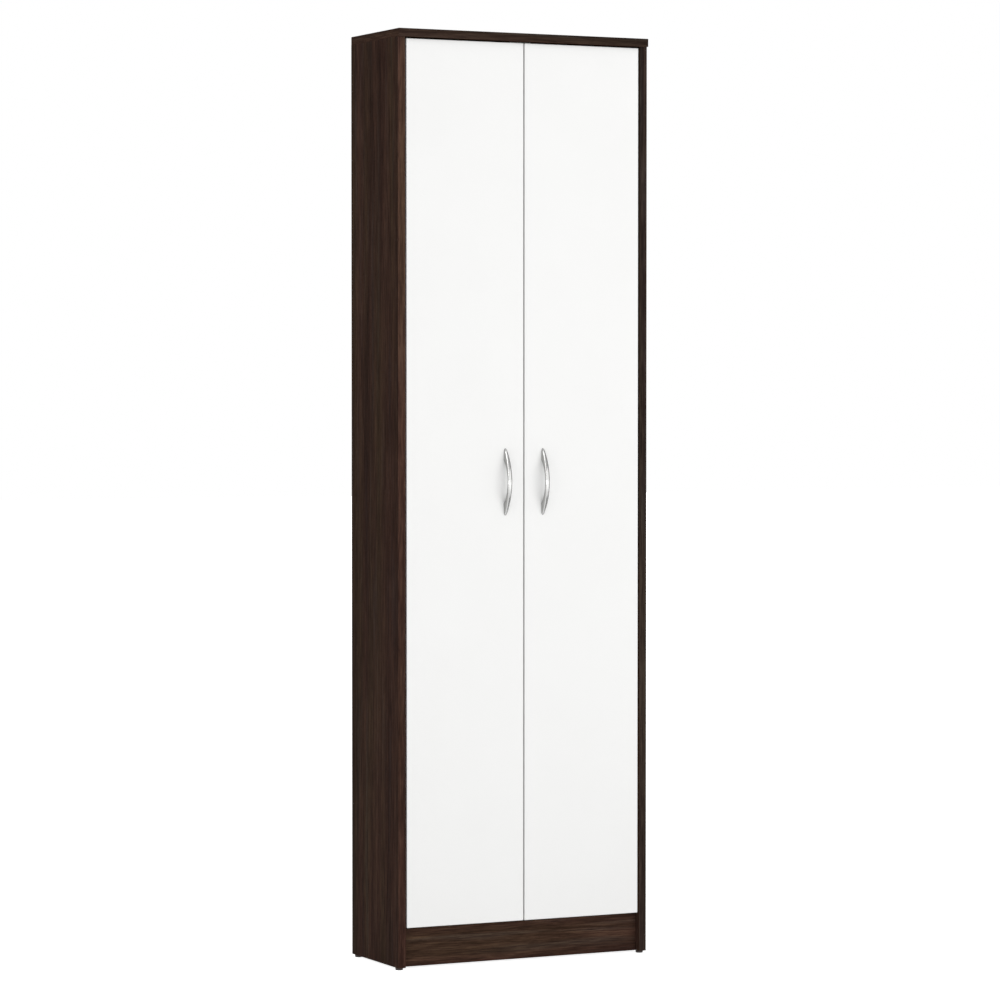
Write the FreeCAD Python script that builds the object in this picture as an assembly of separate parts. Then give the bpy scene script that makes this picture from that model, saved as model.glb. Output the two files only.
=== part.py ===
import FreeCAD, Part
import os

# A tall, narrow cupboard of laminated board. Two doors are set inside its frame on concealed hinges.
# Sizes are millimetres. X runs to the right, Y from the front to the back, and Z up.
# The origin is on the floor, in the middle of the width and of the whole depth, handles included.

# Overall sizes
width = 550.0
height = 1840.0
side_depth = 222.0
board = 16.0
back_sheet = 3.0
top_overhang = 6.0
edge_radius = 0.7

# Clearances
fit_gap = 0.1
running_gap = 0.05
shelf_play = 0.75
seat_gap = 0.3
back_margin = 1.5
overrun = 5.0

# Plinth, shelves and the room that the doors swing through
plinth_height = 75.0
plinth_setback = 15.0
swing_room = 7.0
compartment_count = 5
loose_shelf_count_below = 2

# Doors
door_gap = 3.0
door_recess = 1.0
door_edge_radius = 1.0

# Bow handles
handle_edge_distance = 40.0
handle_rise = 3.0
handle_length = 133.0
handle_projection = 24.0
handle_width = 9.0
handle_tip_width = 5.5
handle_tip_height = 1.5
handle_bar_thickness = 4.5
handle_foot_length = 23.0
handle_hole_spacing = 96.0
handle_round = 1.1
handle_thread_depth = 8.0
handle_screw_radius = 1.95
handle_screw_head_radius = 4.2
handle_screw_head_height = 2.6
handle_screw_play = 0.3

# Glides under the sides
glide_height = 5.0
glide_radius = 7.5
glide_setback = 14.0
glide_round = 1.0
glide_nail_radius = 1.0
glide_nail_length = 15.0

# Cam locks, their bolts, and dowels
cam_radius = 7.4
cam_depth = 12.5
cam_distance = 34.0
cam_slot_length = 7.0
cam_slot_width = 1.2
cam_slot_depth = 2.0
bolt_thread_radius = 2.5
bolt_thread_length = 11.0
bolt_shaft_radius = 3.5
bolt_shaft_length = 26.0
bolt_neck_radius = 2.0
bolt_head_radius = 3.2
bolt_head_length = 3.0
bolt_way_radius = 4.0
dowel_radius = 4.0
dowel_in_face = 11.0
dowel_in_edge = 19.0
fitting_end_distance = 37.0
system_pitch = 32.0

# Shelf pins and their holes
pin_hole_radius = 2.5
pin_hole_depth = 9.0
pin_plug_length = 8.0
pin_rest_length = 8.0
pin_rest_width = 8.0
pin_rest_nose = 1.5
pin_rest_root = 6.5
front_column_setback = 54.0
back_column_setback = 37.0
spare_hole_rows = 1

# Nails that hold the back sheets
nail_radius = 0.8
nail_head_radius = 2.0
nail_head_height = 0.6
nail_length = 18.0
nail_end_distance = 20.0
sheet_joint_gap = 1.0
joint_nail_distance = 4.0
nails_per_column = 8
nails_per_row = 3

# Hinges, measured from the inner face of the side and from the front face of the door
hinge_count = 3
hinge_end_distance = 100.0
pivot_inset = 14.0
pivot_depth = 7.5
pivot_radius = 1.25
pivot_half_length = 9.5
cup_radius = 17.5
cup_depth = 12.5
cup_wall = 0.8
cup_edge_distance = 4.5
flange_thickness = 1.0
flange_radius = 19.0
ear_radius = 6.5
cup_screw_spacing = 45.0
cup_screw_setback = 9.5
lug_half_width = 2.6
lug_inner = 6.4
lug_outer = 8.0
arm_sheet = 2.0
arm_bend = 1.0
neck_half_width = 6.0
neck_reach = 12.0
neck_rise = 15.5
eye_radius = 2.6
arm_lift = 10.0
arm_end = 82.0
channel_start = 27.0
channel_half_width = 9.0
channel_wall = 1.5
channel_foot = 3.2
plate_setback = 53.0
plate_base = 2.5
plate_half_length = 24.0
plate_half_width = 9.0
plate_spine_half_length = 22.0
plate_screw_spacing = 32.0
arm_screw_offset = 12.0
adjuster_offset = 12.0
small_screw_radius = 1.7
small_screw_head_radius = 3.7
small_screw_head_height = 1.9
small_screw_length = 14.0
adjuster_radius = 2.2

# Magnetic catches
catch_width = 46.0
catch_depth = 15.0
catch_height = 13.0
magnet_inner = 3.0
magnet_width = 12.0
magnet_depth = 9.0
magnet_height = 7.0
catch_screw_distance = 19.0
catch_screw_radius = 1.5
catch_screw_head_radius = 2.8
catch_screw_head_height = 1.6
catch_screw_length = 11.0
strike_width = 19.0
strike_height = 10.0
strike_thickness = 1.2
strike_edge_distance = 1.5
strike_screw_length = 11.0

# Places that follow from the sizes
handle_reach = handle_projection - door_recess
front_y = (handle_reach - side_depth - back_sheet) / 2
back_y = front_y + side_depth
outer_x = -width / 2
inner_x = outer_x + board
side_middle_x = outer_x + board / 2
side_top_z = height - board
plinth_top_z = glide_height + plinth_height
floor_top_z = plinth_top_z + board
door_front_y = front_y + door_recess
door_back_y = door_front_y + board
door_bottom_z = plinth_top_z + door_gap
door_top_z = side_top_z - door_gap
handle_middle_z = (door_bottom_z + door_top_z) / 2 + handle_rise
door_free_x = -door_gap / 2
shelf_front_y = door_back_y + swing_room
compartment_height = (side_top_z - floor_top_z - (compartment_count - 1) * board) / compartment_count
handle_x = door_free_x - handle_edge_distance
cup_centre = door_gap + cup_edge_distance + cup_radius
clamp_screw_length = arm_lift + arm_sheet / 2 - plate_base


def vec(x, y, z):
    return FreeCAD.Vector(x, y, z)


RIGHT = vec(1, 0, 0)
BACKWARD = vec(0, 1, 0)
UP = vec(0, 0, 1)


def box(low, high):
    size = high - low
    return Part.makeBox(size.x, size.y, size.z, low)


def rod(radius, start, end):
    line = end - start
    return Part.makeCylinder(radius, line.Length, start, line)


def cone(start_radius, end_radius, start, end):
    line = end - start
    return Part.makeCone(start_radius, end_radius, line.Length, start, line)


def mirrored(shape):
    """The same piece on the other half of the cupboard."""
    return shape.mirror(vec(0, 0, 0), RIGHT)


def both(shapes):
    return shapes + [mirrored(shape) for shape in shapes]


def near(one, other):
    return abs(one - other) < running_gap


def rounded(shape, radius, wanted):
    edges = [edge for edge in shape.Edges if wanted(edge.CenterOfMass)]
    return shape.makeFillet(radius, edges)


def spread(first, last, count):
    """Evenly spaced values from first to last."""
    step = (last - first) / (count - 1)
    return [first + number * step for number in range(count)]


def shelf_z(number):
    """The underside of a shelf, counted from the floor of the cupboard."""
    return floor_top_z + number * compartment_height + (number - 1) * board


fixed_number = loose_shelf_count_below + 1
fixed_shelf_z = shelf_z(fixed_number)
loose_shelves = [number for number in range(1, compartment_count) if number != fixed_number]
hinge_heights = spread(door_bottom_z + hinge_end_distance, door_top_z - hinge_end_distance, hinge_count)


# Fittings that join the boards. Each is worked out on the left and mirrored to the right.

def fitting_lines(start_y, end_y):
    """Along a joint: the places of the two cams, and of the two dowels a pitch further in."""
    cams = [start_y + fitting_end_distance, end_y - fitting_end_distance]
    dowels = [cams[0] + system_pitch, cams[1] - system_pitch]
    return cams, dowels


def left_joints():
    """Cam and dowel joints: the board with the cam, the board with the bolt, a point on their common
    face, the way into the cam's board, and the way to that board's open face."""
    cams = []
    dowels = []
    cam_lines, dowel_lines = fitting_lines(front_y, back_y)
    for y in cam_lines:
        cams.append(("side", "top", vec(side_middle_x, y, side_top_z), -UP, RIGHT))
    for y in dowel_lines:
        dowels.append(("side", "top", vec(side_middle_x, y, side_top_z), -UP, RIGHT))
    cam_lines, dowel_lines = fitting_lines(shelf_front_y, back_y)
    for name, z in (("floor", plinth_top_z), ("shelf", fixed_shelf_z)):
        for y in cam_lines:
            cams.append((name, "side", vec(inner_x, y, z + board / 2), RIGHT, -UP))
        for y in dowel_lines:
            dowels.append((name, "side", vec(inner_x, y, z + board / 2), RIGHT, -UP))
    plinth_y = front_y + plinth_setback + board / 2
    plinth_z = glide_height + plinth_height / 2
    cams.append(("plinth", "side", vec(inner_x, plinth_y, plinth_z), RIGHT, BACKWARD))
    for way in (-1, 1):
        place = vec(inner_x, plinth_y, plinth_z + way * plinth_height / 4)
        dowels.append(("plinth", "side", place, RIGHT, BACKWARD))
    return cams, dowels


left_cams, left_dowels = left_joints()


def cam_bore(point, into, opening):
    centre = point + into * cam_distance
    bottom = centre + opening * (board / 2 - cam_depth)
    bore = rod(cam_radius + fit_gap, bottom, centre + opening * (board / 2 + overrun))
    way = rod(bolt_way_radius, point - into * overrun, centre)
    return bore.fuse(way)


def bolt_hole(point, into):
    start = point - into * (bolt_thread_length + fit_gap)
    return rod(bolt_thread_radius + running_gap, start, point + into * overrun)


def dowel_hole(point, into):
    start = point - into * (dowel_in_face + fit_gap)
    return rod(dowel_radius, start, point + into * (dowel_in_edge + fit_gap))


def cam_lock(point, into, opening):
    centre = point + into * cam_distance
    face = centre + opening * (board / 2)
    body = rod(cam_radius, centre + opening * (board / 2 - cam_depth + fit_gap), face)
    way_end = centre + into * (bolt_head_length / 2 + running_gap)
    body = body.cut(rod(bolt_shaft_radius + running_gap, centre - into * (cam_radius + overrun), way_end))
    across = into.cross(opening)
    for along, side in ((into, across), (across, into)):
        reach = along * (cam_slot_length / 2) + side * (cam_slot_width / 2)
        corners = [face - reach - opening * cam_slot_depth, face + reach + opening * overrun]
        low = vec(*[min(pair) for pair in zip(*corners)])
        high = vec(*[max(pair) for pair in zip(*corners)])
        body = body.cut(box(low, high))
    return body


def cam_bolt(point, into):
    shaft_end = point + into * bolt_shaft_length
    head_start = point + into * (cam_distance - bolt_head_length / 2)
    thread = rod(bolt_thread_radius, point - into * bolt_thread_length, point)
    shaft = rod(bolt_shaft_radius, point, shaft_end)
    neck = rod(bolt_neck_radius, shaft_end, head_start)
    head = rod(bolt_head_radius, head_start, head_start + into * bolt_head_length)
    return thread.fuse([shaft, neck, head])


def dowel(point, into):
    body = rod(dowel_radius - running_gap, point - into * dowel_in_face, point + into * dowel_in_edge)
    return body.makeChamfer(edge_radius, [edge for edge in body.Edges if len(edge.Vertexes) == 1])


def joint_cuts(board_name):
    """Every bore that the joints on the left need in one board."""
    cuts = []
    for holder, partner, point, into, opening in left_cams:
        if holder == board_name:
            cuts.append(cam_bore(point, into, opening))
        if partner == board_name:
            cuts.append(bolt_hole(point, into))
    for holder, partner, point, into, opening in left_dowels:
        if board_name in (holder, partner):
            cuts.append(dowel_hole(point, into))
    return cuts


def cam_locks():
    return both([cam_lock(point, into, opening) for _, _, point, into, opening in left_cams])


def cam_bolts():
    return both([cam_bolt(point, into) for _, _, point, into, _ in left_cams])


def dowels():
    return both([dowel(point, into) for _, _, point, into, _ in left_dowels])


# Shelf pins

def pin_places():
    """The pins that carry the loose shelves on the left."""
    places = []
    for number in loose_shelves:
        for y in (front_y + front_column_setback, back_y - back_column_setback):
            places.append(vec(inner_x, y, shelf_z(number) - pin_hole_radius))
    return places


def pin_holes():
    """Each pin's hole, with spare holes a pitch above and below it."""
    holes = []
    for place in pin_places():
        for row in range(-spare_hole_rows, spare_hole_rows + 1):
            start = place + UP * (row * system_pitch)
            holes.append(rod(pin_hole_radius, start - RIGHT * pin_hole_depth, start + RIGHT * overrun))
    return holes


def shelf_pin(place):
    plug = rod(pin_hole_radius - running_gap, place - RIGHT * pin_plug_length, place)
    top = pin_hole_radius
    nose = (pin_rest_length, top - pin_rest_nose)
    outline = [(0, top), (pin_rest_length, top), nose, (0, top - pin_rest_root)]
    points = [place + RIGHT * x + UP * z - BACKWARD * (pin_rest_width / 2) for x, z in outline]
    rest = Part.Face(Part.makePolygon(points + points[:1])).extrude(BACKWARD * pin_rest_width)
    return plug.fuse(rest)


def shelf_pins():
    return both([shelf_pin(place) for place in pin_places()])


# Back sheets and their nails

sheet_joint_z = fixed_shelf_z + board / 2
sheet_spans = {
    "lower": (plinth_top_z, sheet_joint_z - sheet_joint_gap / 2),
    "upper": (sheet_joint_z + sheet_joint_gap / 2, height - back_margin),
}
nail_rows = {
    "lower": (plinth_top_z + board / 2, sheet_joint_z - joint_nail_distance),
    "upper": (sheet_joint_z + joint_nail_distance, height - board / 2),
}


def nail_places(sheet):
    """Nails down both sides of a back sheet, and along its top and bottom between them."""
    low, high = sheet_spans[sheet]
    places = []
    for z in spread(low + nail_end_distance, high - nail_end_distance, nails_per_column):
        places.append((side_middle_x, z))
        places.append((-side_middle_x, z))
    inside = spread(side_middle_x, -side_middle_x, nails_per_row + 2)
    for z in nail_rows[sheet]:
        for x in inside[1:-1]:
            places.append((x, z))
    outer_y = back_y + back_sheet
    return [vec(x, outer_y, z) for x, z in places]


def nail(place, gap):
    head_end = place - BACKWARD * (nail_head_height + gap)
    head = rod(nail_head_radius + gap, head_end, place + BACKWARD * (overrun if gap else 0))
    shank_start = place - BACKWARD * (nail_length + gap)
    shank = rod(nail_radius + gap, shank_start, place - BACKWARD * (nail_head_height / 2))
    return head.fuse(shank)


def all_nail_places():
    return nail_places("lower") + nail_places("upper")


def nail_holes(low, high):
    """Nail holes for the nails that enter a board between two corners."""
    holes = []
    for place in all_nail_places():
        if low.x < place.x < high.x and low.z < place.z < high.z:
            holes.append(nail(place, running_gap))
    return holes


def back_nails():
    return [nail(place, 0) for place in all_nail_places()]


def back_panel(sheet):
    low, high = sheet_spans[sheet]
    start = vec(outer_x + back_margin, back_y, low)
    panel = box(start, vec(-outer_x - back_margin, back_y + back_sheet, high))
    return panel.cut([nail(place, running_gap) for place in nail_places(sheet)])


# Boards of the frame

def left_side():
    low = vec(outer_x, front_y, glide_height)
    high = vec(inner_x, back_y, side_top_z)
    middle_z = (low.z + high.z) / 2
    side = rounded(box(low, high), edge_radius, lambda c: near(c.y, front_y) and near(c.z, middle_z))
    cuts = joint_cuts("side") + pin_holes() + nail_holes(low, high)
    cuts += [hole for z in hinge_heights for hole in plate_screw_holes(z)]
    cuts += [glide_nail(y, fit_gap) for y in glide_lines()]
    return side.cut(cuts)


def top_panel():
    low = vec(outer_x, front_y - top_overhang, side_top_z)
    high = vec(-outer_x, back_y, height)
    panel = rounded(box(low, high), edge_radius, lambda c: near(c.y, low.y) or near(abs(c.x), high.x))
    cuts = both(joint_cuts("top")) + nail_holes(low, high)
    cuts += [catch_screw(x, side_top_z, 1, running_gap) for x in catch_screw_lines()]
    return panel.cut(cuts)


def bottom_panel():
    low = vec(inner_x, shelf_front_y, plinth_top_z)
    high = vec(-inner_x, back_y, floor_top_z)
    cuts = both(joint_cuts("floor")) + nail_holes(low, high)
    cuts += [catch_screw(x, floor_top_z, -1, running_gap) for x in catch_screw_lines()]
    return box(low, high).cut(cuts)


def fixed_shelf():
    low = vec(inner_x, shelf_front_y, fixed_shelf_z)
    high = vec(-inner_x, back_y, fixed_shelf_z + board)
    return box(low, high).cut(both(joint_cuts("shelf")) + nail_holes(low, high))


def loose_shelf(number):
    low = vec(inner_x + shelf_play, shelf_front_y, shelf_z(number))
    high = vec(-inner_x - shelf_play, back_y - shelf_play, shelf_z(number) + board)
    return rounded(box(low, high), edge_radius, lambda c: near(c.y, low.y) and near(c.x, 0))


def plinth():
    low = vec(inner_x, front_y + plinth_setback, glide_height)
    high = vec(-inner_x, front_y + plinth_setback + board, plinth_top_z)
    return box(low, high).cut(both(joint_cuts("plinth")))


# Glides

def glide_lines():
    return (front_y + glide_setback, back_y - glide_setback)


def glide_nail(y, gap):
    foot = vec(side_middle_x, y, glide_height)
    return rod(glide_nail_radius + gap, foot - UP * gap, foot + UP * (glide_nail_length + gap))


def glide(y):
    foot = vec(side_middle_x, y, 0)
    disc = rod(glide_radius, foot, foot + UP * glide_height)
    disc = rounded(disc, glide_round, lambda c: near(c.z, 0))
    return disc.fuse(glide_nail(y, 0))


# Hinges on the left side

def at(inset, depth, z):
    """A point given by its distance from the side's inner face and from the door's front face."""
    return vec(inner_x + inset, door_front_y + depth, z)


def screw(head_seat, away, radius, head_radius, head_height, length):
    """A domed screw. Its head stands on head_seat, and its shank runs the other way."""
    head = rod(head_radius, head_seat, head_seat + away * head_height)
    top = max(head.Edges, key=lambda edge: (edge.CenterOfMass - head_seat).dot(away))
    head = head.makeFillet(head_height / 2, [top])
    return head.fuse(rod(radius, head_seat - away * length, head_seat))


def cup_screw_seats(z):
    inset = cup_centre + cup_screw_setback
    return [at(inset, board + flange_thickness, z + way * cup_screw_spacing / 2) for way in (-1, 1)]


def plate_screw_seats(z):
    return [at(plate_base, plate_setback, z + way * plate_screw_spacing / 2) for way in (-1, 1)]


def small_screw(seat, away):
    size = (small_screw_radius, small_screw_head_radius, small_screw_head_height, small_screw_length)
    return screw(seat, away, *size)


def small_hole(seat, away):
    radius = small_screw_radius + running_gap
    return rod(radius, seat - away * (small_screw_length + fit_gap), seat + away * overrun)


def plate_screw_holes(z):
    return [small_hole(seat, RIGHT) for seat in plate_screw_seats(z)]


def hinge_pivot(z, gap):
    reach = pivot_half_length + gap
    centre = at(pivot_inset, pivot_depth, z)
    return rod(pivot_radius + gap, centre - UP * reach, centre + UP * reach)


def hinge_cup(z):
    """A drawn steel cup with a flange, two ears for its screws, and lugs that hold the pivot."""
    bottom = board - cup_depth
    rim = board + flange_thickness
    outer = rod(cup_radius, at(cup_centre, bottom, z), at(cup_centre, board, z))
    flange = rod(flange_radius, at(cup_centre, board, z), at(cup_centre, rim, z))
    ear_inset = cup_centre + cup_screw_setback
    ear_z = cup_screw_spacing / 2
    bridge_low = at(ear_inset - ear_radius, board, z - ear_z)
    pieces = [flange, box(bridge_low, at(ear_inset + ear_radius, rim, z + ear_z))]
    for ear in (z - ear_z, z + ear_z):
        pieces.append(rod(ear_radius, at(ear_inset, board, ear), at(ear_inset, rim, ear)))
    hollow_floor = at(cup_centre, bottom + cup_wall, z)
    hollow = rod(cup_radius - cup_wall, hollow_floor, at(cup_centre, rim + overrun, z))
    body = outer.fuse(pieces).cut(hollow)
    for low, high in ((-lug_outer, -lug_inner), (lug_inner, lug_outer)):
        corner = at(pivot_inset - lug_half_width, bottom, z + low)
        lug = box(corner, at(pivot_inset + lug_half_width, pivot_depth + lug_half_width, z + high))
        body = body.fuse(lug.common(outer))
    cuts = [hinge_pivot(z, running_gap)]
    cuts += [small_hole(seat, BACKWARD) for seat in cup_screw_seats(z)]
    return body.cut(cuts).removeSplitter()


def arm_outline():
    """The cranked arm in plan: from the pivot out of the cup, back over it, and along the side."""
    half = arm_sheet / 2
    far = pivot_inset + neck_reach
    crank = pivot_depth + neck_rise
    return [
        (pivot_inset, pivot_depth - half),
        (far + half, pivot_depth - half),
        (far + half, crank + half),
        (arm_lift + half, crank + half),
        (arm_lift + half, arm_end),
        (arm_lift - half, arm_end),
        (arm_lift - half, crank - half),
        (far - half, crank - half),
        (far - half, pivot_depth + half),
        (pivot_inset, pivot_depth + half),
    ]


def bent_strip(z):
    """The arm's outline as sheet metal, with round bends."""
    points = arm_outline()
    low = z - neck_half_width
    corners = [at(inset, depth, low) for inset, depth in points]
    strip = Part.Face(Part.makePolygon(corners + corners[:1])).extrude(UP * (2 * neck_half_width))
    for numbers, radius in (((1, 2, 6), arm_bend + arm_sheet), ((3, 7, 8), arm_bend)):
        bends = [corners[number] for number in numbers]
        picked = [edge for edge in strip.Edges if any(is_upright_at(edge, corner) for corner in bends)]
        strip = strip.makeFillet(radius, picked)
    return strip


def is_upright_at(edge, corner):
    centre = edge.CenterOfMass
    return abs(centre.x - corner.x) + abs(centre.y - corner.y) < running_gap and edge.Length > arm_sheet


def arm_screw_seats(z):
    """On the arm's face: the seat of the clamp screw, and the end of the lift adjuster."""
    face = arm_lift + arm_sheet / 2
    return at(face, plate_setback + arm_screw_offset, z), at(face, plate_setback - adjuster_offset, z)


def clamp_hole(z):
    seat, _ = arm_screw_seats(z)
    radius = small_screw_radius + running_gap
    return rod(radius, seat - RIGHT * (clamp_screw_length + fit_gap), seat + RIGHT * overrun)


def adjuster(z, reach, gap):
    """The lift adjuster in the arm's sheet, or with a reach and a gap the hole for it."""
    _, end = arm_screw_seats(z)
    return rod(adjuster_radius + gap, end - RIGHT * (arm_sheet + reach), end + RIGHT * reach)


def hinge_arm(z):
    half = arm_sheet / 2
    top = arm_lift + half
    low = at(channel_foot, channel_start, z - channel_half_width)
    outer = box(low, at(top, arm_end, z + channel_half_width))
    inside = channel_half_width - channel_wall
    hollow_start = channel_start - overrun
    hollow = box(at(0, hollow_start, z - inside), at(arm_lift - half, arm_end + overrun, z + inside))
    eye = at(pivot_inset, pivot_depth, z)
    knuckle = rod(eye_radius, eye - UP * neck_half_width, eye + UP * neck_half_width)
    arm = bent_strip(z).fuse([outer.cut(hollow), knuckle])
    cuts = [hinge_pivot(z, running_gap), clamp_hole(z), adjuster(z, overrun, running_gap)]
    return arm.cut(cuts).removeSplitter()


def hinge_plate(z):
    """The mounting plate: two wings for its screws, and a spine that the arm is clamped to."""
    spine_low = plate_setback - plate_spine_half_length
    spine_high = plate_setback + plate_spine_half_length
    wings = box(
        at(0, plate_setback - plate_half_width, z - plate_half_length),
        at(plate_base, plate_setback + plate_half_width, z + plate_half_length),
    )
    base = box(at(0, spine_low, z - plate_half_width), at(plate_base, spine_high, z + plate_half_width))
    spine_top = arm_lift - arm_sheet / 2 - seat_gap
    spine_half = channel_half_width - channel_wall - seat_gap
    spine = box(at(0, spine_low, z - spine_half), at(spine_top, spine_high, z + spine_half))
    return wings.fuse([base, spine]).cut(plate_screw_holes(z) + [clamp_hole(z)]).removeSplitter()


def hinge_arm_screws(z):
    """The clamp screw, cut to the spine's height, and the screw that sets the arm's lift."""
    clamp_seat, _ = arm_screw_seats(z)
    head = (small_screw_head_radius, small_screw_head_height)
    clamp = screw(clamp_seat, RIGHT, small_screw_radius, *head, clamp_screw_length)
    return [clamp, adjuster(z, 0, 0)]


def cup_screws():
    return [small_screw(seat, BACKWARD) for z in hinge_heights for seat in cup_screw_seats(z)]


def hinge_pivots():
    return [hinge_pivot(z, 0) for z in hinge_heights]


def plate_screws():
    return both([small_screw(seat, RIGHT) for z in hinge_heights for seat in plate_screw_seats(z)])


def arm_screws():
    return both([piece for z in hinge_heights for piece in hinge_arm_screws(z)])


# Doors and handles

def handle_screw_heights():
    half = handle_hole_spacing / 2
    return (handle_middle_z - half, handle_middle_z + half)


def handle_screw_hole(z, start_depth, end_depth, play):
    start = vec(handle_x, door_front_y + start_depth, z)
    end = vec(handle_x, door_front_y + end_depth, z)
    return rod(handle_screw_radius + play, start, end)


def cup_bore(z):
    start = at(cup_centre, board - cup_depth - fit_gap, z)
    return rod(cup_radius + fit_gap, start, at(cup_centre, board + overrun, z))


def left_door():
    low = vec(inner_x + door_gap, door_front_y, door_bottom_z)
    high = vec(door_free_x, door_back_y, door_top_z)
    door = box(low, high)
    door = door.makeFillet(door_edge_radius, door.Edges)
    cuts = [cup_bore(z) for z in hinge_heights]
    cuts += [small_hole(seat, BACKWARD) for z in hinge_heights for seat in cup_screw_seats(z)]
    cuts += [strike_screw(z, running_gap) for z in strike_heights()]
    for z in handle_screw_heights():
        cuts.append(handle_screw_hole(z, -overrun, board + overrun, handle_screw_play))
    return door.cut(cuts)


def handle_point(along, out):
    return vec(handle_x, door_front_y - out, handle_middle_z + along)


def handle_side_face():
    """The bow seen from the side: an outer arc from tip to tip, and a smaller arc between the feet."""
    tip = handle_length / 2
    foot = tip - handle_foot_length
    inner_peak = handle_projection - handle_bar_thickness
    outer_start = handle_point(-tip, handle_tip_height)
    outer_end = handle_point(tip, handle_tip_height)
    edges = [
        Part.LineSegment(handle_point(-tip, 0), outer_start),
        Part.Arc(outer_start, handle_point(0, handle_projection), outer_end),
        Part.LineSegment(outer_end, handle_point(tip, 0)),
        Part.LineSegment(handle_point(tip, 0), handle_point(foot, 0)),
        Part.Arc(handle_point(foot, 0), handle_point(0, inner_peak), handle_point(-foot, 0)),
        Part.LineSegment(handle_point(-foot, 0), handle_point(-tip, 0)),
    ]
    return Part.Face(Part.Wire([edge.toShape() for edge in edges]))


def handle_front_face():
    """The bow seen from the front: widest in the middle, with rounded tips."""
    tip = handle_length / 2
    shoulder = tip - handle_tip_width / 2
    half = handle_width / 2
    end_half = handle_tip_width / 2

    def point(across, along):
        return vec(handle_x + across, door_front_y, handle_middle_z + along)

    edges = [
        Part.Arc(point(end_half, -shoulder), point(half, 0), point(end_half, shoulder)),
        Part.Arc(point(end_half, shoulder), point(0, tip), point(-end_half, shoulder)),
        Part.Arc(point(-end_half, shoulder), point(-half, 0), point(-end_half, -shoulder)),
        Part.Arc(point(-end_half, -shoulder), point(0, -tip), point(end_half, -shoulder)),
    ]
    return Part.Face(Part.Wire([edge.toShape() for edge in edges]))


def left_handle():
    side_view = handle_side_face()
    side_view.translate(-RIGHT * handle_width)
    bow = side_view.extrude(RIGHT * (2 * handle_width))
    bow = bow.common(handle_front_face().extrude(-BACKWARD * (handle_projection + overrun)))
    long_edges = [edge for edge in bow.Edges if edge.Length > handle_length / 2]
    bow = bow.makeFillet(handle_round, long_edges)
    depth = -handle_thread_depth - fit_gap
    return bow.cut([handle_screw_hole(z, overrun, depth, running_gap) for z in handle_screw_heights()])


def handle_screws():
    length = board + handle_thread_depth
    pieces = []
    for z in handle_screw_heights():
        seat = vec(handle_x, door_back_y, z)
        size = (handle_screw_radius, handle_screw_head_radius, handle_screw_head_height, length)
        pieces.append(screw(seat, BACKWARD, *size))
    return pieces


# Magnetic catches and the steel strikes on the doors

catch_front_y = door_back_y + strike_thickness + seat_gap
catch_seats = {"top": (side_top_z, -1), "bottom": (floor_top_z, 1)}


def ordered_box(low, high):
    """A box whose heights may be given in either order."""
    bottom = vec(low.x, low.y, min(low.z, high.z))
    return box(bottom, vec(high.x, high.y, max(low.z, high.z)))


def catch_screw_lines():
    return (-catch_screw_distance, catch_screw_distance)


def catch_screw(x, seat_z, way, gap):
    """A screw up or down through a catch: way points from the catch into its board."""
    head_seat = vec(x, catch_front_y + catch_depth / 2, seat_z - way * catch_height)
    length = catch_height + catch_screw_length
    if gap:
        return rod(catch_screw_radius + gap, head_seat, head_seat + UP * (way * (length + gap)))
    size = (catch_screw_radius, catch_screw_head_radius, catch_screw_head_height, length)
    return screw(head_seat, UP * -way, *size)


def magnet_pocket(catch, gap):
    seat_z, way = catch_seats[catch]
    middle = seat_z + way * catch_height / 2
    half = magnet_height / 2 + gap
    mouth_y = catch_front_y - (overrun if gap else 0)
    low = vec(-magnet_inner - magnet_width - gap, mouth_y, middle - half)
    return box(low, vec(-magnet_inner + gap, catch_front_y + magnet_depth + gap, middle + half))


def catch_body(catch):
    seat_z, way = catch_seats[catch]
    face_z = seat_z + way * catch_height
    low = vec(-catch_width / 2, catch_front_y, seat_z)
    body = ordered_box(low, vec(catch_width / 2, catch_front_y + catch_depth, face_z))
    body = rounded(body, edge_radius, lambda c: near(c.z, face_z))
    cuts = both([magnet_pocket(catch, fit_gap)])
    cuts += [catch_screw(x, seat_z, -way, running_gap) for x in catch_screw_lines()]
    return body.cut(cuts)


def catch_magnets():
    return both([magnet_pocket(catch, 0) for catch in catch_seats])


def catch_screws():
    pieces = []
    for seat_z, way in catch_seats.values():
        pieces += [catch_screw(x, seat_z, -way, 0) for x in catch_screw_lines()]
    return pieces


def strike_heights():
    """One strike faces the bottom catch. The other lies just under the door's top edge."""
    half = strike_height / 2 + strike_edge_distance
    return (floor_top_z + catch_height / 2, door_top_z - half)


def strike_screw(z, gap):
    """A flat-headed screw, flush with the strike's face."""
    x = door_free_x - strike_edge_distance - strike_width / 2
    face = vec(x, door_back_y + strike_thickness, z)
    seat = vec(x, door_back_y, z)
    head = cone(catch_screw_radius + gap, catch_screw_radius + strike_thickness + gap, seat, face)
    return head.fuse(rod(catch_screw_radius + gap, seat - BACKWARD * (strike_screw_length + gap), seat))


def left_strikes():
    plates = []
    for z in strike_heights():
        high_x = door_free_x - strike_edge_distance
        low = vec(high_x - strike_width, door_back_y, z - strike_height / 2)
        plate = box(low, vec(high_x, door_back_y + strike_thickness, z + strike_height / 2))
        plates.append(plate.cut(strike_screw(z, running_gap)))
    return plates


def left_strike_screws():
    return [strike_screw(z, 0) for z in strike_heights()]


def write(name, pieces):
    """One file for a node: a single solid, or a group of separate ones."""
    shape = pieces
    if isinstance(pieces, list):
        shape = Part.makeCompound(pieces) if len(pieces) > 1 else pieces[0]
    shape.exportStep("parts/" + name + ".step")
    print(name, len(shape.Solids), round(shape.Volume), shape.isValid())


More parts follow.
